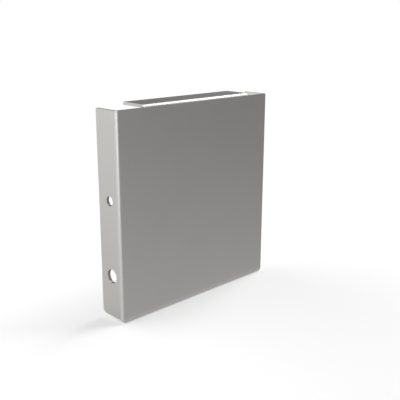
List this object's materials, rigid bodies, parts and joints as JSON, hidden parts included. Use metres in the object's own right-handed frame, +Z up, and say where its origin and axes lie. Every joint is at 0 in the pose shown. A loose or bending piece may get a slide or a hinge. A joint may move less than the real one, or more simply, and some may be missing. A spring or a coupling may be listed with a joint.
{
  "type": "wireway end cap",
  "caption": "Square folded sheet-metal cap with flanges along its edges, the top one shorter, and screw holes in its sides, to slip over and close the end of a wireway.",
  "frame": {"origin": "on the plane that the bottom flange stands on, under the middle of the cap's width and depth", "axes": "+Z up from the bottom flange to the top flange, +Y from the closed panel to the open back, +X to the right as seen from the front of the panel"},
  "size_m": [0.105, 0.0152, 0.1068],
  "materials": {
    "bare_steel": "satin"
  },
  "bodies": {
    "root": {"end_cap": "bare_steel"}
  },
  "joints": []
}
